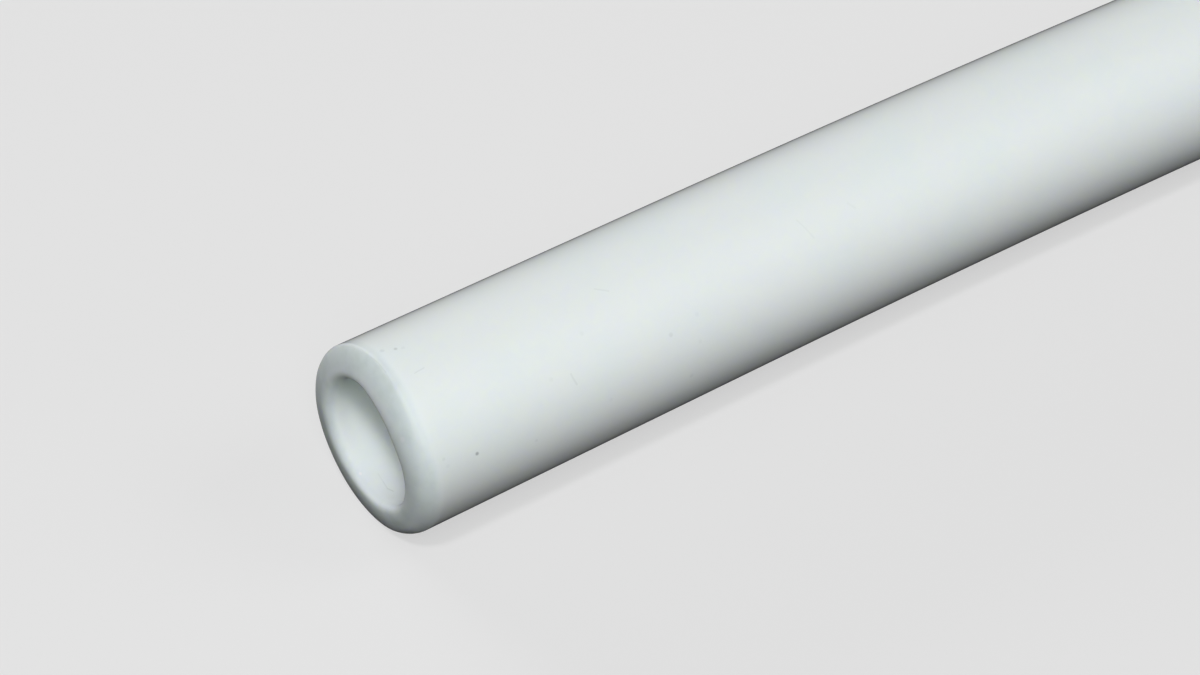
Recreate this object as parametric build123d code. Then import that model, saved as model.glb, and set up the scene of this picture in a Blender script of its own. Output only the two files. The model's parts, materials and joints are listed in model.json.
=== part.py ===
from build123d import *
import math
import os

# A length of milky silicone tube that lies on a table. It was cut from a coil and has kept a trace of
# the coil's curve, so it rests with that bow flat on the table and doesn't roll.
# Millimetres and degrees. +Z is up, the tube lies along X, and the bow's hollow side faces -Y. The
# origin is on the table, under the middle of the tube's bounding box.

# Section
bore_diameter = 8.0
wall_thickness = 2.0

# Middle line: a straight run at each end, which a hose barb or a clamp takes, and the bow between them
tube_length = 150.0
straight_run = 25.0
bow_radius = 1300.0

# The far end is cut square, and its rims are only as round as a sharp knife leaves them in soft rubber
far_rim_rounding = 0.15

# The near end was cut with the blade coming in from above, a little from behind. The soft wall was
# dragged along there, so from the tube's middle up to the outer rim the cut leans back in a long curve,
# and the rims are well rounded, most of all on the outside.
blade_lean = 14.0
lean_back = 0.8
near_rim_rounding = 0.5
near_bore_rounding = 0.25

bore_radius = bore_diameter / 2
outer_radius = bore_radius + wall_thickness
bow_length = tube_length - 2 * straight_run
bow_angle = math.degrees(bow_length / bow_radius)
drag_radius = (lean_back**2 + outer_radius**2) / (2 * lean_back)


def middle_line():
    """The tube's middle line at its height above the table, from the near end to the far end."""
    start = Vector(0, 0, outer_radius)
    heading = Vector(1, 0, 0).rotate(Axis.Z, bow_angle / 2)
    near_run = Line(start, start + heading * straight_run)
    bow = JernArc(start=near_run @ 1, tangent=near_run % 1, radius=bow_radius, arc_size=-bow_angle)
    far_run = Line(bow @ 1, (bow @ 1) + (bow % 1) * straight_run)
    return Wire([near_run, bow, far_run])


def extruded_tube(line):
    """The wall as it left the die: the round section carried along the middle line, with the bore open."""
    section = Plane(origin=line @ 0, z_dir=line % 0)
    outside = sweep(section * Circle(outer_radius), path=line)
    bore = sweep(section * Circle(bore_radius), path=line)
    return outside - bore


def blade_sweep(line):
    """What the blade took off the near end, drawn in the plane of its stroke: X runs into the tube and Y
    points back to where the blade came from."""
    into_tube = line % 0
    upward = Vector(0, 0, 1).rotate(Axis((0, 0, 0), into_tube), -blade_lean)
    stroke = Plane(origin=line @ 0, x_dir=into_tube, z_dir=into_tube.cross(upward))
    clear = outer_radius + drag_radius
    square_cut = Line((0, -clear), (0, 0))
    drag = JernArc(start=square_cut @ 1, tangent=(0, 1), radius=drag_radius, arc_size=-90)
    round_the_tube = Polyline(
        drag @ 1,
        (drag_radius, clear),
        (-clear, clear),
        (-clear, -clear),
        square_cut @ 0,
    )
    outline = make_face(square_cut + drag + round_the_tube)
    return extrude(stroke * outline, amount=clear, both=True)


def rims_at(tube, end):
    """The rims of the cut face at this end: those on the outside of the wall, and those in the bore."""
    middle_of_wall = (bore_radius + outer_radius) / 2
    outside, bore = [], []
    for edge in tube.edges().filter_by(GeomType.LINE, reverse=True):
        away = (edge @ 0.5 - end).length
        if away < middle_of_wall:
            bore.append(edge)
        elif away < outer_radius + lean_back:
            outside.append(edge)
    return outside, bore


def with_round_rims(tube, end, outside_rounding, bore_rounding):
    """The tube with both rims rounded at this end."""
    outside, _ = rims_at(tube, end)
    tube = fillet(outside, outside_rounding)
    _, bore = rims_at(tube, end)
    return fillet(bore, bore_rounding)


def silicone_tube(line):
    """The one piece: the extruded wall, cut at both ends, with its rims rounded."""
    tube = extruded_tube(line) - blade_sweep(line)
    tube = with_round_rims(tube, line @ 0, near_rim_rounding, near_bore_rounding)
    return with_round_rims(tube, line @ 1, far_rim_rounding, far_rim_rounding)


line = middle_line()
tube = silicone_tube(line)
box = tube.bounding_box()
to_table = Vector(-box.center().X, -box.center().Y, -box.min.Z)
tube = tube.moved(Location(to_table))
tube.label = "silicone_tube"

os.makedirs("parts", exist_ok=True)
export_step(tube, "parts/silicone_tube.step")

print("volume", round(tube.volume, 2), "faces", len(tube.faces()), "valid", tube.is_valid)
for name, end, outward in (("near end", line @ 0, -(line % 0)), ("far end", line @ 1, line % 1)):
    print(name, "middle", end + to_table, "opens towards", outward)
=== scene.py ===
# %% [markdown]
# # A length of silicone tube
# This lesson dresses one soft rubber tube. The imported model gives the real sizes, and Blender gives the
# looks: the soft rims of an end that was cut by hand, milky rubber that lets light in, and the few specks
# that such a tube picks up.

# %% Load the frame
import json
import math

import bpy
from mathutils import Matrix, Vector


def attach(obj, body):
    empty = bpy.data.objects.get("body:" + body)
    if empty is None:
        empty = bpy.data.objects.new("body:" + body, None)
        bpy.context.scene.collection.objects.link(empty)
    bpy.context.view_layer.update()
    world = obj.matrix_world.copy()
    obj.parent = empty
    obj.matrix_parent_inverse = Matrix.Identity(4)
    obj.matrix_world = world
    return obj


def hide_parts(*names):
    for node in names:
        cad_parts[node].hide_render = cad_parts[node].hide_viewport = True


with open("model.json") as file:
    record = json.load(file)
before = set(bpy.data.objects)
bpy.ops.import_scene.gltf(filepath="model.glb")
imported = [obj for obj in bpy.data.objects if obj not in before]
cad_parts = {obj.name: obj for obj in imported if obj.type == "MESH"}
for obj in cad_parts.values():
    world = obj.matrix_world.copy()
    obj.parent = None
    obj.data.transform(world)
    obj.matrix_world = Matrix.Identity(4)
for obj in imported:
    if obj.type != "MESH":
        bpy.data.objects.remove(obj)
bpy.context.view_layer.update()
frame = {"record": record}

MILLIMETRE = 0.001

# %% [markdown]
# ## Read the tube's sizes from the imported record
# The record's mounts describe a tube: the straight bore and outside at each end, and the two cut faces. The
# bow between the ends follows from them. Reading them here keeps this script in step with the real part,
# where numbers typed twice would drift apart.

# %% Sizes, in metres
mounts = {mount["name"]: mount for mount in frame["record"]["mounts"]}


def end_middle(side):
    """Where the middle line meets the cut face at this end."""
    outside, face = mounts[side + "_outside"], mounts[side + "_face"]
    on_line, outward = Vector(outside["pos_m"]), Vector(outside["axis"]).normalized()
    return on_line + outward * (Vector(face["pos_m"]) - on_line).dot(outward)


outer_radius = mounts["near_outside"]["dims"]["r_mm"] * MILLIMETRE
bore_radius = mounts["near_bore"]["dims"]["r_mm"] * MILLIMETRE
wall = outer_radius - bore_radius

# The far rims are only as round as a sharp knife leaves them. The mount's straight run stops where their
# rounding starts.
knife_rounding = 0.15 * MILLIMETRE
straight_run = mounts["far_outside"]["dims"]["length_mm"] * MILLIMETRE + knife_rounding

near_end, far_end = end_middle("near"), end_middle("far")
into_near, out_of_far = -Vector(mounts["near_outside"]["axis"]), Vector(mounts["far_outside"]["axis"])
bow_turn = into_near.angle(out_of_far)
chord_of_bow = (far_end - near_end).length - 2 * straight_run * math.cos(bow_turn / 2)
bow_radius = chord_of_bow / 2 / math.sin(bow_turn / 2)
tube_length = 2 * straight_run + bow_radius * bow_turn
print(f"length {tube_length / MILLIMETRE:.1f} mm, bow radius {bow_radius / MILLIMETRE:.0f} mm")

# %% [markdown]
# ## Draw the middle line
# The tube was cut from a coil and kept a little of its curve. One Bezier spline with four points draws that
# line: straight, a single shallow arc, straight. Many short straight pieces would do too, but would show as
# facets in a smooth skin. The arc's handles have the length that makes a Bezier follow a circle, so the line
# agrees with the solid to a few millionths.

# %% Middle line
LINE_STEPS = 64


def middle_line():
    """The straight run, bow and straight run as one curve object."""
    handle = 4 / 3 * math.tan(bow_turn / 4) * bow_radius
    bow_start, bow_end = near_end + into_near * straight_run, far_end - out_of_far * straight_run
    points = [
        (near_end, into_near, 0, straight_run / 3),
        (bow_start, into_near, straight_run / 3, handle),
        (bow_end, out_of_far, handle, straight_run / 3),
        (far_end, out_of_far, straight_run / 3, 0),
    ]
    data = bpy.data.curves.new("middle_line", "CURVE")
    data.dimensions = "3D"
    data.resolution_u = LINE_STEPS
    spline = data.splines.new("BEZIER")
    spline.bezier_points.add(len(points) - 1)
    for bezier, (place, heading, before, after) in zip(spline.bezier_points, points):
        bezier.co = place
        bezier.handle_left = place - heading * before
        bezier.handle_right = place + heading * after
    made = bpy.data.objects.new("middle_line", data)
    bpy.context.scene.collection.objects.link(made)
    return made


line = middle_line()
print("middle line", round(line.data.splines[0].calc_length() / MILLIMETRE, 2), "mm")

# %% [markdown]
# ## Small helpers for node trees
# The shape and the rubber are both node trees. Written out node by node they would be long and hard to
# follow. So each helper here does one small job: it adds a node with its inputs, does one sum, mixes two
# numbers, fades a mask, or starts a group with named inputs.

# %% Node helpers
def give(tree, socket, value):
    """Wires another node's output to this input, or sets it to a value."""
    if isinstance(value, bpy.types.NodeSocket):
        tree.links.new(value, socket)
    else:
        socket.default_value = value


def add(tree, kind, inputs=None, **settings):
    """Adds a node with its settings, and gives its named or numbered inputs."""
    node = tree.nodes.new(kind)
    for name, value in settings.items():
        setattr(node, name, value)
    for name, value in (inputs or {}).items():
        give(tree, node.inputs[name], value)
    return node


def sums(tree, operation, *values):
    """One Math node, and its answer."""
    return add(tree, "ShaderNodeMath", dict(enumerate(values)), operation=operation).outputs[0]


def vector_sums(tree, operation, *values):
    """One Vector Math node."""
    return add(tree, "ShaderNodeVectorMath", dict(enumerate(values)), operation=operation)


def between(tree, share, first, second):
    """A number between two others: the first at a share of 0, and the second at 1."""
    return add(tree, "ShaderNodeMix", {0: share, 2: first, 3: second}).outputs[0]


def fades(tree, value, full, none, strength=1.0):
    """A mask that has this strength where the value is at full, and fades to 0 where it is at none."""
    steps = {"Value": value, "From Min": none, "From Max": full, "To Min": 0.0, "To Max": strength}
    return add(tree, "ShaderNodeMapRange", steps, interpolation_type="SMOOTHSTEP").outputs[0]


def new_group(name, kind, inputs, outputs):
    """A node group with its named inputs, each with a starting value where it has one, and its outputs."""
    tree = bpy.data.node_groups.new(name, kind)
    for label, socket_type, start in inputs:
        socket = tree.interface.new_socket(label, in_out="INPUT", socket_type=socket_type)
        if start is not None:
            socket.default_value = start
    for label, socket_type in outputs:
        tree.interface.new_socket(label, in_out="OUTPUT", socket_type=socket_type)
    return tree, tree.nodes.new("NodeGroupInput").outputs, tree.nodes.new("NodeGroupOutput").inputs


# %% [markdown]
# ## Draw the wall flat
# A die presses the rubber out as a ring, so the tube follows a rule: one outline of its wall, turned round
# the middle line. A modelled cylinder would do, but Geometry Nodes keep every size as a named input. The
# outline starts as a rectangle, as long as the tube and as high as the wall is thick. Its corners are
# rounded, and its sides are divided: coarsely along the tube, and finely at the cuts, where more happens.

# %% Outline of the wall
CORNER_STEPS = 5


def divided(tree, curve, spacing):
    """Cuts each stretch of the outline into pieces of about this spacing."""
    here = add(tree, "GeometryNodeInputPosition").outputs[0]
    after = add(tree, "GeometryNodeOffsetPointInCurve", {"Offset": 1}).outputs["Point Index"]
    there = add(
        tree,
        "GeometryNodeFieldAtIndex",
        {"Index": after, "Value": here},
        data_type="FLOAT_VECTOR",
        domain="POINT",
    ).outputs[0]
    stretch = vector_sums(tree, "DISTANCE", here, there).outputs["Value"]
    cuts = sums(tree, "FLOOR", sums(tree, "DIVIDE", stretch, spacing))
    return add(tree, "GeometryNodeSubdivideCurve", {"Curve": curve, "Cuts": cuts}).outputs[0]


def wall_outline(tree, given, length, thickness):
    """The wall slit open and drawn flat: X runs along the tube, and Y from its middle outwards."""
    both_radii = sums(tree, "ADD", given["Outer Radius"], given["Bore Radius"])
    half_length, middle_radius = sums(tree, "MULTIPLY", length, 0.5), sums(tree, "MULTIPLY", both_radii, 0.5)
    flat = add(tree, "GeometryNodeCurvePrimitiveQuadrilateral", {"Width": length, "Height": thickness})
    place = add(tree, "ShaderNodeCombineXYZ", {"X": half_length, "Y": middle_radius}).outputs[0]
    placed = add(tree, "GeometryNodeTransform", {"Geometry": flat.outputs[0], "Translation": place})
    rounded = add(
        tree,
        "GeometryNodeFilletCurve",
        {"Curve": placed.outputs[0], "Count": CORNER_STEPS, "Radius": given["Rim Rounding"]},
        mode="POLY",
    )
    coarse = divided(tree, rounded.outputs[0], given["Ring Spacing"])

    position = add(tree, "GeometryNodeInputPosition").outputs[0]
    along = add(tree, "ShaderNodeSeparateXYZ", {0: position}).outputs["X"]
    near_cut = sums(tree, "LESS_THAN", along, given["Fine Length"])
    far_cut = sums(tree, "GREATER_THAN", along, sums(tree, "SUBTRACT", length, given["Rim Rounding"]))
    at_a_cut = sums(tree, "MAXIMUM", near_cut, far_cut)
    return divided(tree, coarse, between(tree, at_a_cut, given["Ring Spacing"], given["Fine Spacing"]))


# %% [markdown]
# ## Turn the outline into a ring
# Curve to Mesh carries the flat outline round a circle and closes it. A Spin would do that once and for
# good, but here it stays a rule. Every point lands somewhere new, so two named attributes go with it: where
# it was on the outline, and how far round the tube it is. The later steps work on these plain measures.

# %% Ring of the wall
def stored(tree, shape, name, value, kind="FLOAT"):
    """Keeps a value on every point of a shape, under this name."""
    kept = {"Geometry": shape, "Name": name, "Value": value}
    return add(tree, "GeometryNodeStoreNamedAttribute", kept, data_type=kind, domain="POINT").outputs[0]


def read_back(tree, name, kind="FLOAT"):
    """The value that each point keeps under this name."""
    return add(tree, "GeometryNodeInputNamedAttribute", {"Name": name}, data_type=kind).outputs[0]


def wall_ring(tree, given, outline):
    """Carries the outline round a circle of as many sides as are given."""
    position = add(tree, "GeometryNodeInputPosition").outputs[0]
    profile = stored(tree, outline, "outline", position, "FLOAT_VECTOR")
    sizes = {"Resolution": given["Sides"], "Radius": given["Outer Radius"]}
    circle = add(tree, "GeometryNodeCurvePrimitiveCircle", sizes).outputs[0]
    turn_share = add(tree, "GeometryNodeSplineParameter").outputs["Factor"]
    turned = stored(tree, circle, "turn", sums(tree, "MULTIPLY", turn_share, math.tau))
    return add(tree, "GeometryNodeCurveToMesh", {"Curve": turned, "Profile Curve": profile}).outputs[0]


# %% [markdown]
# ## Roll the rims
# The near end was cut by hand, with a knife that came in from above, a little from behind. The rims of such
# a cut are soft rolls, not edges, and each is wide in one place and narrow in another. A Bevel modifier
# rounds all of a rim alike. Here the points next to each sharp corner are pushed onto an arc instead, and a
# Float Curve says how wide the arc is at every place round the end.

# %% Widths that change round the end
# Each list goes round the end in steps of 45 degrees: behind, over the top, in front, and underneath. These
# are the widths of the rims, and the largest size that such a list may hold, all in millimetres.
OUTER_RIM = [0.12, 0.12, 0.12, 0.25, 0.75, 0.6, 0.25, 0.15]
BORE_RIM = [0.85, 0.6, 0.35, 0.3, 0.3, 0.3, 0.3, 0.7]
LARGEST = 2.0


def around_the_end(tree, turn, sizes):
    """A size that follows this list round the end as a smooth curve, and closes on its first value."""
    node = add(tree, "ShaderNodeFloatCurve", {"Value": sums(tree, "DIVIDE", turn, math.tau)})
    node.mapping.clip_min_y, node.mapping.clip_max_y = -LARGEST, LARGEST
    curve = node.mapping.curves[0]
    for step in range(1, len(sizes)):
        curve.points.new(step / len(sizes), 0)
    for step, (point, size) in enumerate(zip(curve.points, sizes + sizes[:1])):
        point.location = (step / len(sizes), size)
        point.handle_type = "AUTO_CLAMPED"
    node.mapping.update()
    return sums(tree, "MULTIPLY", node.outputs[0], MILLIMETRE)


# %% Rounding of a rim
def rolled_rim(tree, along, radius, rounding, wall_radius, outwards):
    """Pushes the points of a sharp corner onto a round rim. Outwards is 1 outside and -1 in the bore."""
    into_wall = sums(tree, "MULTIPLY", sums(tree, "SUBTRACT", wall_radius, radius), outwards)
    near_cut = sums(tree, "LESS_THAN", along, rounding)
    near_skin = sums(tree, "LESS_THAN", into_wall, rounding)
    in_corner = sums(tree, "MULTIPLY", near_cut, near_skin)
    back = sums(tree, "SUBTRACT", along, rounding)
    out = sums(tree, "SUBTRACT", rounding, into_wall)
    squares = sums(tree, "ADD", sums(tree, "POWER", back, 2.0), sums(tree, "POWER", out, 2.0))
    reach = sums(tree, "SQRT", squares)
    stretch = sums(tree, "DIVIDE", rounding, reach)
    round_along = sums(tree, "MULTIPLY_ADD", back, stretch, rounding)
    round_depth = sums(tree, "SUBTRACT", rounding, sums(tree, "MULTIPLY", out, stretch))
    round_radius = sums(tree, "SUBTRACT", wall_radius, sums(tree, "MULTIPLY", round_depth, outwards))
    new_along = between(tree, in_corner, along, round_along)
    return new_along, between(tree, in_corner, radius, round_radius)


# %% [markdown]
# ## Let the cut lean back
# The knife dragged the soft wall along before it cut, so from the tube's middle up the face leans back. The
# wall was also squeezed under the blade and swelled again. That left the face a little crowned: it falls
# away towards the outer rim, and dips towards the bore. Sculpting could do this, but a rule can be changed
# later. Each point slides into the tube by the lean, the crown and the dip together, and the slide fades out
# along the fine stretch behind the cut.

# %% Slide of the cut
# The blade stood this far off upright. The cut leans back by this much at the top of the outer rim, and it
# grows to that with this power of the height above the tube's middle.
BLADE_LEAN = math.radians(20)
LEAN_BACK = 0.89 * MILLIMETRE
LEAN_POWER = 2.2

# How far the face falls back at the outer rim and at the bore, in millimetres, round the end as above
CROWN = [0.28, 0.3, 0.56, 0.95, 1.05, 0.6, 0.3, 0.2]
BORE_DIP = [0.0, 0.0, 0.0, 0.12, 0.25, 0.22, 0.05, 0.0]


def slide_of_the_cut(tree, given, turn, along, radius, sideways, upwards, thickness):
    """How far a point of the near end moves into the tube."""
    towards_blade = sums(
        tree,
        "ADD",
        sums(tree, "MULTIPLY", sideways, sums(tree, "SINE", given["Blade Lean"])),
        sums(tree, "MULTIPLY", upwards, sums(tree, "COSINE", given["Blade Lean"])),
    )
    above = sums(tree, "DIVIDE", sums(tree, "MAXIMUM", towards_blade, 0.0), given["Outer Radius"])
    lean = sums(tree, "MULTIPLY", given["Lean Back"], sums(tree, "POWER", above, given["Lean Power"]))

    outwards = sums(tree, "DIVIDE", sums(tree, "SUBTRACT", radius, given["Bore Radius"]), thickness)
    inwards = sums(tree, "SUBTRACT", 1.0, outwards)
    crown = sums(tree, "MULTIPLY", around_the_end(tree, turn, CROWN), sums(tree, "POWER", outwards, 2.0))
    dip = sums(tree, "MULTIPLY", around_the_end(tree, turn, BORE_DIP), sums(tree, "POWER", inwards, 2.0))

    at_the_cut = sums(tree, "ADD", lean, sums(tree, "ADD", crown, dip))
    share_left = sums(tree, "SUBTRACT", 1.0, sums(tree, "DIVIDE", along, given["Fine Length"]))
    return sums(tree, "MULTIPLY", at_the_cut, sums(tree, "MAXIMUM", share_left, 0.0))


# %% [markdown]
# ## Bend it along the middle line
# So far the tube is straight, and the real one has a slight bow. A Curve modifier could bend it, but Sample
# Curve gives the place and heading at any length of the middle line, and each point is then set beside and
# above that place. The point's place on the unbent tube is kept as an attribute, because that is where the
# marks of the surface are placed, and so is its distance from the nearer cut.

# %% Bending
def bent_along(tree, path, along, sideways, upwards):
    """Where a point of the straight tube lies once the tube follows its middle line."""
    on_line = add(tree, "GeometryNodeSampleCurve", {"Curves": path, "Length": along}, mode="LENGTH").outputs
    across = vector_sums(tree, "CROSS_PRODUCT", (0, 0, 1), on_line["Tangent"]).outputs[0]
    aside = vector_sums(tree, "SCALE", across)
    give(tree, aside.inputs["Scale"], sideways)
    up = add(tree, "ShaderNodeCombineXYZ", {"Z": upwards}).outputs[0]
    offset = vector_sums(tree, "ADD", aside.outputs[0], up).outputs[0]
    return vector_sums(tree, "ADD", on_line["Position"], offset).outputs[0]


# %% [markdown]
# ## Join the steps in one tree
# Every step above adds its nodes to the same tree, and the sizes are named inputs of it, so the same tree
# could make a tube of another size. It ends in Realize Instances and Set Material, because what is exported
# has to be a plain mesh with its finish on it.

# %% Geometry Nodes tree of the tube
TUBE_INPUTS = [
    ("Middle Line", "NodeSocketObject", None),
    ("Outer Radius", "NodeSocketFloat", outer_radius),
    ("Bore Radius", "NodeSocketFloat", bore_radius),
    ("Rim Rounding", "NodeSocketFloat", knife_rounding),
    ("Blade Lean", "NodeSocketFloat", 0.0),
    ("Lean Back", "NodeSocketFloat", 0.0),
    ("Lean Power", "NodeSocketFloat", 2.0),
    ("Ring Spacing", "NodeSocketFloat", 1.5 * MILLIMETRE),
    ("Fine Spacing", "NodeSocketFloat", 0.15 * MILLIMETRE),
    ("Fine Length", "NodeSocketFloat", 12 * MILLIMETRE),
    ("Sides", "NodeSocketInt", 160),
    ("Rubber", "NodeSocketMaterial", None),
]


def tube_tree():
    """Turns a middle line into the wall of a tube with one dragged cut and one square cut."""
    tree, given, result = new_group(
        "tube_wall", "GeometryNodeTree", TUBE_INPUTS, [("Geometry", "NodeSocketGeometry")]
    )
    info = add(tree, "GeometryNodeObjectInfo", {"Object": given["Middle Line"]}, transform_space="RELATIVE")
    path = info.outputs["Geometry"]
    length = add(tree, "GeometryNodeCurveLength", {"Curve": path}).outputs[0]
    thickness = sums(tree, "SUBTRACT", given["Outer Radius"], given["Bore Radius"])
    ring = wall_ring(tree, given, wall_outline(tree, given, length, thickness))

    turn = read_back(tree, "turn")
    on_outline = add(tree, "ShaderNodeSeparateXYZ", {0: read_back(tree, "outline", "FLOAT_VECTOR")}).outputs
    from_near_cut, radius = on_outline["X"], on_outline["Y"]
    outer_rim, bore_rim = around_the_end(tree, turn, OUTER_RIM), around_the_end(tree, turn, BORE_RIM)
    along, radius = rolled_rim(tree, from_near_cut, radius, outer_rim, given["Outer Radius"], 1)
    along, radius = rolled_rim(tree, along, radius, bore_rim, given["Bore Radius"], -1)

    sideways = sums(tree, "MULTIPLY", radius, sums(tree, "COSINE", turn))
    upwards = sums(tree, "MULTIPLY", radius, sums(tree, "SINE", turn))
    slide = slide_of_the_cut(tree, given, turn, along, radius, sideways, upwards, thickness)
    slid = sums(tree, "ADD", along, slide)
    bent = bent_along(tree, path, slid, sideways, upwards)
    shaped = add(tree, "GeometryNodeSetPosition", {"Geometry": ring, "Position": bent}).outputs[0]

    straight = add(tree, "ShaderNodeCombineXYZ", {"X": slid, "Y": sideways, "Z": upwards}).outputs[0]
    from_cut = sums(tree, "MINIMUM", from_near_cut, sums(tree, "SUBTRACT", length, from_near_cut))
    marked = stored(tree, shaped, "straight", straight, "FLOAT_VECTOR")
    measured = stored(tree, marked, "from_cut", from_cut)
    smooth = add(tree, "GeometryNodeSetShadeSmooth", {"Geometry": measured}).outputs[0]
    real = add(tree, "GeometryNodeRealizeInstances", {"Geometry": smooth}).outputs[0]
    dressed = add(tree, "GeometryNodeSetMaterial", {"Geometry": real, "Material": given["Rubber"]})
    give(tree, result["Geometry"], dressed.outputs[0])
    return tree


wall_tree = tube_tree()
print("tube tree:", len(wall_tree.nodes), "nodes")

# %% [markdown]
# ## Marks on a surface, as shader groups
# Static draws dust to silicone: single dark grains, and fibres that lie on the skin or are pressed into it.
# Painted textures would need an image. A group that measures how far the surface is from one grain, or from
# one short line, gives a mask at any place and size, and stays sharp from near by. The places are read on
# the tube before it was bent: along it, and round it.

# %% Place on the unbent tube
def on_tube(along, degrees, radius):
    """A place on the unbent tube: millimetres from the near end, degrees round from behind over the top, and
    millimetres from the middle line."""
    angle = math.radians(degrees)
    return Vector((along, radius * math.cos(angle), radius * math.sin(angle))) * MILLIMETRE


# %% Grain group
# A mark has its full strength up to this share of its size, and fades from there.
GRAIN_CORE = 0.3
FIBRE_CORE = 0.2


def grain_group():
    """A mask of one small grain: 1 at its middle, fading to 0 at its size."""
    tree, given, result = new_group(
        "grain",
        "ShaderNodeTree",
        [
            ("Place", "NodeSocketVector", None),
            ("Middle", "NodeSocketVector", None),
            ("Size", "NodeSocketFloat", 0.2 * MILLIMETRE),
        ],
        [("Mask", "NodeSocketFloat")],
    )
    away = vector_sums(tree, "DISTANCE", given["Place"], given["Middle"]).outputs["Value"]
    share = sums(tree, "DIVIDE", away, given["Size"])
    give(tree, result["Mask"], fades(tree, share, full=GRAIN_CORE, none=1.0))
    return tree


grain = grain_group()
print("grain group:", len(grain.nodes), "nodes")


# %% Fibre group
def fibre_group():
    """A mask of one fine straight fibre or scratch between two points."""
    tree, given, result = new_group(
        "fibre",
        "ShaderNodeTree",
        [
            ("Place", "NodeSocketVector", None),
            ("Start", "NodeSocketVector", None),
            ("End", "NodeSocketVector", None),
            ("Width", "NodeSocketFloat", 0.05 * MILLIMETRE),
        ],
        [("Mask", "NodeSocketFloat")],
    )
    reach = vector_sums(tree, "SUBTRACT", given["End"], given["Start"]).outputs[0]
    from_start = vector_sums(tree, "SUBTRACT", given["Place"], given["Start"]).outputs[0]
    onto = vector_sums(tree, "DOT_PRODUCT", from_start, reach).outputs["Value"]
    whole = vector_sums(tree, "DOT_PRODUCT", reach, reach).outputs["Value"]
    share = add(tree, "ShaderNodeClamp", {"Value": sums(tree, "DIVIDE", onto, whole)}).outputs[0]
    nearest = vector_sums(tree, "SCALE", reach)
    give(tree, nearest.inputs["Scale"], share)
    away = vector_sums(tree, "DISTANCE", from_start, nearest.outputs[0]).outputs["Value"]
    widths = sums(tree, "DIVIDE", away, given["Width"])
    give(tree, result["Mask"], fades(tree, widths, full=FIBRE_CORE, none=1.0))
    return tree


fibre = fibre_group()
print("fibre group:", len(fibre.nodes), "nodes")


# %% Dust group
def dust_group():
    """A mask of scattered faint dust: one grain in some of the cells that divide the space."""
    tree, given, result = new_group(
        "dust",
        "ShaderNodeTree",
        [
            ("Place", "NodeSocketVector", None),
            ("Spacing", "NodeSocketFloat", 6 * MILLIMETRE),
            ("Size", "NodeSocketFloat", 0.15 * MILLIMETRE),
            ("Share", "NodeSocketFloat", 0.5),
        ],
        [("Mask", "NodeSocketFloat")],
    )
    density = sums(tree, "DIVIDE", 1.0, given["Spacing"])
    cells = add(tree, "ShaderNodeTexVoronoi", {"Vector": given["Place"], "Scale": density})
    away = sums(tree, "MULTIPLY", cells.outputs["Distance"], given["Spacing"])
    round_mask = fades(tree, sums(tree, "DIVIDE", away, given["Size"]), full=GRAIN_CORE, none=1.0)
    draw = add(tree, "ShaderNodeSeparateColor", {0: cells.outputs["Color"]}).outputs[0]
    chosen = sums(tree, "LESS_THAN", draw, given["Share"])
    give(tree, result["Mask"], sums(tree, "MULTIPLY", round_mask, chosen))
    return tree


dust = dust_group()
print("dust group:", len(dust.nodes), "nodes")

# %% [markdown]
# ## The face a knife leaves
# The die leaves the outside and the bore smooth, but a knife tears soft rubber a little. The cut faces are
# cloudy in patches, with fine streaks along the blade's stroke. A second material on those faces would end
# in a hard line. Instead, the attribute that the tube's tree kept says how far each point is from a cut, so
# the group marks the faces and fades out over their rims. Streaks are a noise that is stretched along the
# stroke.

# %% Group of the cut face
# The mask of the face is full up to the first distance from the cut, and gone at the second. A patch is full
# and gone at these values of its noise.
FACE_FULL, FACE_GONE = 0.1 * MILLIMETRE, 0.7 * MILLIMETRE
PATCH_FULL, PATCH_GONE = 0.72, 0.42


def cut_face_group():
    """Masks of a cut face: cloudy patches, and streaks along a stroke that leans like the blade."""
    tree, given, result = new_group(
        "cut_face",
        "ShaderNodeTree",
        [
            ("Place", "NodeSocketVector", None),
            ("From Cut", "NodeSocketFloat", 0.0),
            ("Across Stroke", "NodeSocketVector", None),
            ("Along Stroke", "NodeSocketVector", None),
            ("Patch Size", "NodeSocketFloat", 1.1 * MILLIMETRE),
            ("Streak Width", "NodeSocketFloat", 0.14 * MILLIMETRE),
            ("Streak Length", "NodeSocketFloat", 1.6 * MILLIMETRE),
        ],
        [("Face", "NodeSocketFloat"), ("Patches", "NodeSocketFloat"), ("Streaks", "NodeSocketFloat")],
    )
    # This mask of the faces also places their painted shade in the rubber's colour.
    face = fades(tree, given["From Cut"], full=FACE_FULL, none=FACE_GONE)
    give(tree, result["Face"], face)

    patches = add(tree, "ShaderNodeTexNoise", {"Vector": given["Place"], "Detail": 3.0})
    give(tree, patches.inputs["Scale"], sums(tree, "DIVIDE", 1.0, given["Patch Size"]))
    cloudy = fades(tree, patches.outputs["Fac"], full=PATCH_FULL, none=PATCH_GONE)
    give(tree, result["Patches"], sums(tree, "MULTIPLY", cloudy, face))

    across = vector_sums(tree, "DOT_PRODUCT", given["Place"], given["Across Stroke"]).outputs["Value"]
    down = vector_sums(tree, "DOT_PRODUCT", given["Place"], given["Along Stroke"]).outputs["Value"]
    across_widths = sums(tree, "DIVIDE", across, given["Streak Width"])
    down_lengths = sums(tree, "DIVIDE", down, given["Streak Length"])
    stretched = add(tree, "ShaderNodeCombineXYZ", {"X": across_widths, "Y": down_lengths}).outputs[0]
    streaks = add(tree, "ShaderNodeTexNoise", {"Vector": stretched, "Scale": 1.0, "Detail": 2.0})
    give(tree, result["Streaks"], sums(tree, "MULTIPLY", streaks.outputs["Fac"], face))
    return tree


cut_face = cut_face_group()
print("cut face group:", len(cut_face.nodes), "nodes")
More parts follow.
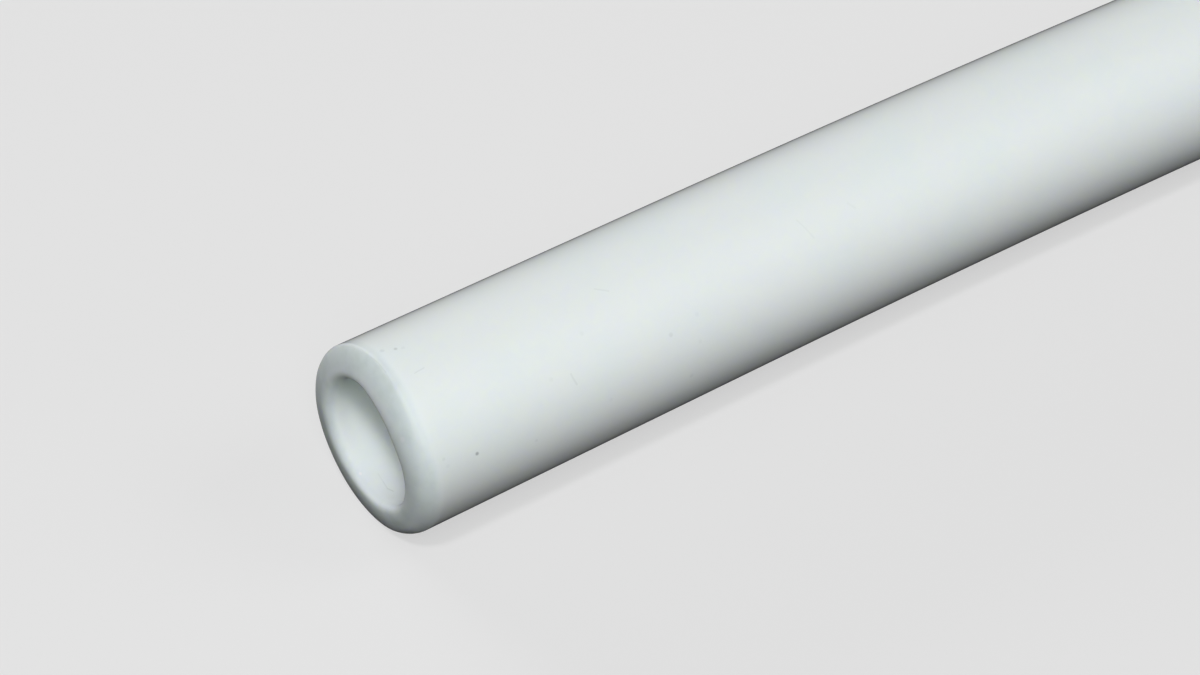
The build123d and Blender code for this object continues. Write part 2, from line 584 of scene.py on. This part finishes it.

# %% [markdown]
# ## Where the marks are
# These few marks are on the real tube: dark grains, a curled fibre and scratches. A thin dark line along the
# crease where the cut meets the outside goes with them, and that one is painted shade. A procedural scatter
# alone would spread them evenly, and real dust doesn't lie evenly, so the plain ones are placed one by one
# and the scatter adds only the faint rest.

# %% Grains, fibres, painted crease shade and pale specks
# Each place is millimetres from the near end, degrees round and millimetres from the middle line.
# A grain: its place, its size in millimetres and its strength
GRAINS = [
    ((2.76, 86.8, 6), 0.16, 0.27),
    ((4.21, 164.0, 6), 0.16, 0.55),
    ((18.36, 149.4, 6), 0.2, 0.13),
    ((2.06, 83.6, 6), 0.2, 0.12),
    ((3.16, 88.5, 6), 0.17, 0.07),
    ((2.09, 158.1, 6), 0.16, 0.08),
    ((2.24, 163.0, 6), 0.18, 0.05),
    ((10.04, 143.1, 6), 0.2, 0.05),
    ((20.17, 160.9, 6), 0.18, 0.06),
    ((13.02, 127.1, 6), 0.2, 0.05),
    ((20.44, 145.1, 6), 0.2, 0.05),
    ((19.33, 181.2, 6), 0.2, 0.08),
    ((13.51, 170.4, 6), 0.18, 0.05),
    ((8.18, 173.7, 6), 0.15, 0.08),
]

# A fibre or scratch, or a stretch of painted shade along the crease: its start, its end, its width in
# millimetres and its strength
FIBRES_AND_CREASE_SHADE = [
    ((11.35, 145.1, 6), (11.38, 147.4, 6), 0.1, 0.09),
    ((11.38, 147.4, 6), (11.5, 151.9, 6), 0.1, 0.1),
    ((2.7, 107.3, 6), (3.38, 106.7, 6), 0.06, 0.11),
    ((29.3, 120.4, 6), (29.56, 127.1, 6), 0.09, 0.05),
    ((29.56, 127.1, 6), (29.79, 134.0, 6), 0.09, 0.05),
    ((15.27, 106.7, 6), (15.93, 111.4, 6), 0.09, 0.08),
    ((33.0, 124.0, 6), (33.3, 128.0, 6), 0.14, 0.04),
    ((1.45, 284.8, 4), (1.39, 275.2, 4), 0.06, 0.07),
    ((1.39, 275.2, 4), (1.3, 266.2, 4), 0.07, 0.12),
    ((1.3, 266.2, 4), (1.43, 260.1, 4), 0.08, 0.17),
    # These five stretches are no fibre but painted shade: a dark line along the crease where the cut meets
    # the outside, over the top.
    ((1.22, 62, 5.96), (1.28, 74, 5.94), 0.05, 0.05),
    ((1.28, 74, 5.94), (1.29, 83, 5.93), 0.06, 0.08),
    ((1.29, 83, 5.93), (1.33, 91, 5.96), 0.06, 0.12),
    ((1.33, 91, 5.96), (1.3, 99, 5.96), 0.06, 0.12),
    ((1.3, 99, 5.96), (1.21, 107, 5.92), 0.05, 0.06),
]

# A pale speck: its place, its size in millimetres and its strength
PALE_SPECKS = [
    ((0.51, 291.8, 4), 0.14, 0.8),
    ((0.42, 139, 5.16), 0.25, 0.3),
]
print(len(GRAINS), "grains,", len(FIBRES_AND_CREASE_SHADE), "stretches of fibre,", len(PALE_SPECKS), "pale specks")


# %% Masks of the marks
def marks_mask(tree, place, grains, fibres):
    """One mask of all these grains and fibres, or stretches of painted crease shade."""
    mask = 0.0
    for middle, size, strength in grains:
        one = add(tree, "ShaderNodeGroup", {}, node_tree=grain)
        give(tree, one.inputs["Place"], place)
        one.inputs["Middle"].default_value = on_tube(*middle)
        one.inputs["Size"].default_value = size * MILLIMETRE
        mask = sums(tree, "MAXIMUM", mask, sums(tree, "MULTIPLY", one.outputs[0], strength))
    for start, end, width, strength in fibres:
        one = add(tree, "ShaderNodeGroup", {}, node_tree=fibre)
        give(tree, one.inputs["Place"], place)
        one.inputs["Start"].default_value = on_tube(*start)
        one.inputs["End"].default_value = on_tube(*end)
        one.inputs["Width"].default_value = width * MILLIMETRE
        mask = sums(tree, "MAXIMUM", mask, sums(tree, "MULTIPLY", one.outputs[0], strength))
    return mask


# %% [markdown]
# ## The colour of the rubber
# Silicone is clear with a fine milk in it, and the milk is a little uneven. The cut faces and their rims are
# painted darker than the skin, which is painted shade: it stands for light that goes in there and leaves by
# the sides of the wall. Where the knife tore the face, random cloudy patches are darker still, on top of that
# painted shade. One flat colour would look like plastic, so these tones are mixed by the masks, with the dust
# and the marks on top.

# %% Colours
MILK = (0.86, 0.94, 0.96)
CLOUDED = (0.83, 0.92, 0.935)
# The cut face colour is painted shade; the patch colour is a random cloudy tone on that painted shade.
CUT_FACE_SHADE = (0.785, 0.865, 0.875)
SHADED_CUT_PATCH = (0.7, 0.78, 0.78)
# This dark colour serves the grains, fibres and dust, and the painted shade along the crease.
DARK_MARK_AND_SHADE_COLOUR = (0.16, 0.2, 0.2)
SPECK_COLOUR = (0.97, 0.99, 1.0)

# The clouds in the milk: how many to a metre, and the values of their noise at which they are full and gone
CLOUDS = 220.0
CLOUD_FULL, CLOUD_GONE = 0.75, 0.4
CLOUD_STRENGTH, PATCH_STRENGTH, DUST_STRENGTH = 0.6, 0.6, 0.04


def mixed(tree, share, first, second):
    """A colour between the first and the second, which is red, green and blue."""
    return add(tree, "ShaderNodeMix", {0: share, 6: first, 7: (*second, 1)}, data_type="RGBA").outputs[2]


def rubber_colour(tree, place, cut):
    """The milk, its clouds, the cut faces' painted shade and patches, the dust and the marks, in this order.
    """
    clouds = add(tree, "ShaderNodeTexNoise", {"Vector": place, "Scale": CLOUDS, "Detail": 3.0}).outputs["Fac"]
    cloudy = fades(tree, clouds, full=CLOUD_FULL, none=CLOUD_GONE, strength=CLOUD_STRENGTH)
    colour = mixed(tree, cloudy, (*MILK, 1), CLOUDED)
    # The cut faces take their painted shade here, and their random patches on top of it.
    colour = mixed(tree, cut["Face"], colour, CUT_FACE_SHADE)
    patchy = sums(tree, "MULTIPLY", cut["Patches"], PATCH_STRENGTH)
    colour = mixed(tree, patchy, colour, SHADED_CUT_PATCH)
    scattered = add(tree, "ShaderNodeGroup", {"Place": place}, node_tree=dust)
    faint = sums(tree, "MULTIPLY", scattered.outputs["Mask"], DUST_STRENGTH)
    # The dark mask holds the dust, the marks and the painted shade along the crease.
    dark = sums(tree, "MAXIMUM", marks_mask(tree, place, GRAINS, FIBRES_AND_CREASE_SHADE), faint)
    colour = mixed(tree, dark, colour, DARK_MARK_AND_SHADE_COLOUR)
    return mixed(tree, marks_mask(tree, place, PALE_SPECKS, []), colour, SPECK_COLOUR)


# %% [markdown]
# ## The satin skin
# The skin is satin, not glossy, with a grain too fine to see as bumps. It shows only as a soft, slightly
# broken sheen, so a fine noise changes the roughness and gives a very low bump. Real bumps in the mesh would
# take millions of faces. The cut faces are a little rougher, and their streaks stand up more.

# %% Roughness and relief
# The skin's grains to a metre, and the roughness between which they change
SKIN_GRAINS = 2500.0
SMOOTHEST, ROUGHEST = 0.44, 0.56
CUT_ROUGHER = 0.08
STREAK_HEIGHT = 2.0
RELIEF_STRENGTH = 0.05
RELIEF_HEIGHT = 0.02 * MILLIMETRE


def satin_skin(tree, place, cut):
    """The roughness and the normal of the skin."""
    fine_noise = {"Vector": place, "Scale": SKIN_GRAINS, "Detail": 2.0}
    fine = add(tree, "ShaderNodeTexNoise", fine_noise).outputs["Fac"]
    spread = {"Value": fine, "To Min": SMOOTHEST, "To Max": ROUGHEST}
    satin = add(tree, "ShaderNodeMapRange", spread).outputs[0]
    rougher = sums(tree, "MULTIPLY_ADD", cut["Face"], CUT_ROUGHER, satin)
    height = sums(tree, "MULTIPLY_ADD", cut["Streaks"], STREAK_HEIGHT, fine)
    relief = {"Height": height, "Strength": RELIEF_STRENGTH, "Distance": RELIEF_HEIGHT}
    return rougher, add(tree, "ShaderNodeBump", relief).outputs[0]


# %% [markdown]
# ## The milky rubber
# Light goes into the rubber, scatters for about a millimetre and comes out softened. Subsurface scattering
# in the Principled shader does that, where a plain white paint would show hard edges at the cut. A clear
# coat with a faint grey tint and no gloss of its own paints shade onto the outline: seen along the surface
# its tint weighs more, so the outline is darker. Towards the bore there is less of the coat, so less of this
# painted shade, which stands for light that leaks into the bore through the wall all round.

# %% Rubber
# The coat's grey tint paints shade onto the outline; at the bore only this share of the coat is left.
BORE_OUTLINE_SHADE = 0.45
OUTLINE_SHADE_TINT = 0.88
RUBBER = {
    "IOR": 1.41,
    "Specular IOR Level": 0.2,
    "Subsurface Weight": 1.0,
    "Subsurface Radius": (1.0, 1.0, 0.8),
    "Subsurface Scale": 1.1 * MILLIMETRE,
    "Coat IOR": 1.0,
    "Coat Roughness": 0.3,
    "Coat Tint": (OUTLINE_SHADE_TINT, OUTLINE_SHADE_TINT, OUTLINE_SHADE_TINT, 1),
}


def outline_shade_coat(tree, place):
    """Painted outline shade: all of it from the middle of the wall outwards, and less towards the bore."""
    crosswise = vector_sums(tree, "MULTIPLY", place, (0, 1, 1)).outputs[0]
    from_middle = vector_sums(tree, "LENGTH", crosswise).outputs["Value"]
    steps = {"From Min": bore_radius, "From Max": bore_radius + wall / 2, "To Min": BORE_OUTLINE_SHADE}
    return add(tree, "ShaderNodeMapRange", {"Value": from_middle, **steps}).outputs[0]


def milky_silicone():
    """The tube's one material."""
    material = bpy.data.materials.new("milky_silicone")
    material.use_nodes = True
    tree = material.node_tree
    skin = tree.nodes["Principled BSDF"].inputs
    place = add(tree, "ShaderNodeAttribute", attribute_name="straight").outputs["Vector"]
    from_cut = add(tree, "ShaderNodeAttribute", attribute_name="from_cut").outputs["Fac"]
    masks = add(tree, "ShaderNodeGroup", {}, node_tree=cut_face)
    give(tree, masks.inputs["Place"], place)
    give(tree, masks.inputs["From Cut"], from_cut)
    masks.inputs["Across Stroke"].default_value = (0, math.cos(BLADE_LEAN), -math.sin(BLADE_LEAN))
    masks.inputs["Along Stroke"].default_value = (0, math.sin(BLADE_LEAN), math.cos(BLADE_LEAN))

    roughness, relief = satin_skin(tree, place, masks.outputs)
    give(tree, skin["Base Color"], rubber_colour(tree, place, masks.outputs))
    give(tree, skin["Roughness"], roughness)
    give(tree, skin["Normal"], relief)
    give(tree, skin["Coat Weight"], outline_shade_coat(tree, place))
    for name, value in RUBBER.items():
        skin[name].default_value = value
    return material


rubber = milky_silicone()
print("rubber:", len(rubber.node_tree.nodes), "nodes")

# %% [markdown]
# ## Make the tube
# A modifier runs the tree on an empty mesh. The result is copied to a plain mesh and the modifier goes, so
# the piece can be exported as it is. The tube rides on the part's one body and stands for the solid.

# %% Run the tree and keep its mesh
def run_tree(name, tree, values):
    """Runs a Geometry Nodes tree with these inputs and returns what it made as a plain mesh object."""
    maker = bpy.data.objects.new(name + "_maker", bpy.data.meshes.new(name + "_maker"))
    bpy.context.scene.collection.objects.link(maker)
    modifier = maker.modifiers.new(name, "NODES")
    modifier.node_group = tree
    for item in tree.interface.items_tree:
        if item.in_out == "INPUT" and item.name in values:
            modifier[item.identifier] = values[item.name]
    shapes = bpy.context.evaluated_depsgraph_get()
    mesh = bpy.data.meshes.new_from_object(maker.evaluated_get(shapes))
    mesh.name = name
    bpy.data.objects.remove(maker)
    made = bpy.data.objects.new(name, mesh)
    bpy.context.scene.collection.objects.link(made)
    return made


tube = run_tree(
    "silicone_tube_wall",
    wall_tree,
    {
        "Middle Line": line,
        "Blade Lean": BLADE_LEAN,
        "Lean Back": LEAN_BACK,
        "Lean Power": LEAN_POWER,
        "Rubber": rubber,
    },
)
bpy.data.objects.remove(line)
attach(tube, "root")
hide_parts("silicone_tube")
print("tube mesh:", len(tube.data.vertices), "points,", len(tube.data.polygons), "faces")

# %% [markdown]
# ## A floor that stays one grey
# Catalogue pictures are cut out and set on one even tone, with a faint shadow. More light on the floor would
# bleach the tube too. So for rays that come from the camera, or by way of a mirror or glass, most of the
# floor's grey is its own colour, and a small share is a lit surface that still shows the shadow. All other
# rays meet a dark floor, so that the tube's underside stays dim.

# %% Floor
PALE = 0.732
SHADOW_SHARE = 0.24
LIT_FLOOR, DARK_FLOOR = 0.85, 0.03
HALF_FLOOR = 2.0


def grey(level):
    """A grey, as a colour socket takes it."""
    return (level, level, level, 1)


def floor():
    """A plain pale floor that shows one even grey, with the tube's soft shadow."""
    sides = [(-1, -1), (1, -1), (1, 1), (-1, 1)]
    mesh = bpy.data.meshes.new("floor")
    mesh.from_pydata([(x * HALF_FLOOR, y * HALF_FLOOR, 0) for x, y in sides], [], [(0, 1, 2, 3)])
    made = bpy.data.objects.new("floor", mesh)
    bpy.context.scene.collection.objects.link(made)
    material = bpy.data.materials.new("pale_floor")
    material.use_nodes = True
    mesh.materials.append(material)
    tree = material.node_tree
    tree.nodes.clear()

    path = add(tree, "ShaderNodeLightPath").outputs
    mirrored = sums(tree, "MAXIMUM", path["Is Glossy Ray"], path["Is Transmission Ray"])
    seen = sums(tree, "MAXIMUM", path["Is Camera Ray"], mirrored)
    even = add(tree, "ShaderNodeEmission", {"Color": grey(PALE), "Strength": 1.0})
    lit = add(tree, "ShaderNodeBsdfDiffuse", {"Color": grey(LIT_FLOOR)})
    shown = add(tree, "ShaderNodeMixShader", {0: SHADOW_SHARE, 1: even.outputs[0], 2: lit.outputs[0]})
    dark = add(tree, "ShaderNodeBsdfDiffuse", {"Color": grey(DARK_FLOOR)})
    both = add(tree, "ShaderNodeMixShader", {0: seen, 1: dark.outputs[0], 2: shown.outputs[0]})
    add(tree, "ShaderNodeOutputMaterial", {"Surface": both.outputs[0]})
    return made


made_floor = floor()
print("floor:", [round(v, 1) for v in made_floor.dimensions], "m")

# %% [markdown]
# ## Soft studio light
# Milky rubber shows its shape only by slow changes of tone, so a few soft lamps do it, at a level where
# white stays under full white. The key lamp is small and stands high in front, so that its light reaches
# into the bore. The high and front ones are broad and soften it. The back one stands low behind the tube and
# draws its light top edge. The side and low ones keep the flank next to the camera from going dark.

# %% Light
world = bpy.data.worlds.new("dark_room")
bpy.context.scene.world = world
world.use_nodes = True
world.node_tree.nodes["Background"].inputs["Strength"].default_value = 0.0

# The lamps are aimed at a place this far from the near end, in metres, where most of what shows lies.
AIM_INTO_TUBE = 0.02


def softbox(name, elevation, azimuth, strength, size=0.5):
    """A round softbox a metre off, aimed close behind the near end. A strength of 1 shows white as white."""
    data = bpy.data.lights.new(name, "AREA")
    data.shape = "DISK"
    data.size = size
    data.energy = strength * math.pi**2
    made = bpy.data.objects.new(name, data)
    elevation, azimuth = math.radians(elevation), math.radians(azimuth)
    outward = Vector((math.cos(azimuth), math.sin(azimuth), math.tan(elevation))).normalized()
    made.location = near_end + Vector((AIM_INTO_TUBE, 0, 0)) + outward
    made.rotation_euler = (-outward).to_track_quat("-Z", "Y").to_euler()
    bpy.context.scene.collection.objects.link(made)


softbox("key_softbox", elevation=65, azimuth=225, strength=0.42, size=0.15)
softbox("high_softbox", elevation=52, azimuth=234, strength=0.22)
softbox("front_softbox", elevation=40, azimuth=240, strength=0.28)
softbox("back_softbox", elevation=15, azimuth=95, strength=0.65)
softbox("side_softbox", elevation=40, azimuth=330, strength=0.19)
softbox("low_softbox", elevation=15, azimuth=300, strength=0.14)
print("lamps:", [lamp.name for lamp in bpy.data.lights])

# %% [markdown]
# ## The camera of the photograph
# A long lens looks down on the near end from in front. The camera is placed by where the middle of the near
# end falls in the picture, how far away it is and which way it looks, so each of these can be changed alone.

# %% Camera
photo_width, photo_height = 1200, 675
near_end_pixel = (363.02, 446.40)
focal_pixels = 3074.3
view_azimuth = math.radians(57.16)
view_drop = math.radians(42.09)
view_distance = 179.07 * MILLIMETRE

level = math.cos(view_drop)
look = Vector((level * math.cos(view_azimuth), level * math.sin(view_azimuth), -math.sin(view_drop)))
rightwards = look.cross(Vector((0, 0, 1))).normalized()
upwards = rightwards.cross(look)
to_near_end = (
    look
    + rightwards * (near_end_pixel[0] - photo_width / 2) / focal_pixels
    - upwards * (near_end_pixel[1] - photo_height / 2) / focal_pixels
)
camera_data = bpy.data.cameras.new("camera")
camera_data.sensor_width = 36
camera_data.lens = focal_pixels / photo_width * camera_data.sensor_width
camera_data.clip_start = MILLIMETRE
camera = bpy.data.objects.new("camera", camera_data)
camera.location = near_end - to_near_end * view_distance
camera.rotation_euler = look.to_track_quat("-Z", "Y").to_euler()
bpy.context.scene.collection.objects.link(camera)
bpy.context.scene.camera = camera
print(f"camera: a lens of {camera_data.lens:.0f} mm at a height of {camera.location.z:.3f} m")

bpy.context.scene.view_settings.view_transform = "Standard"
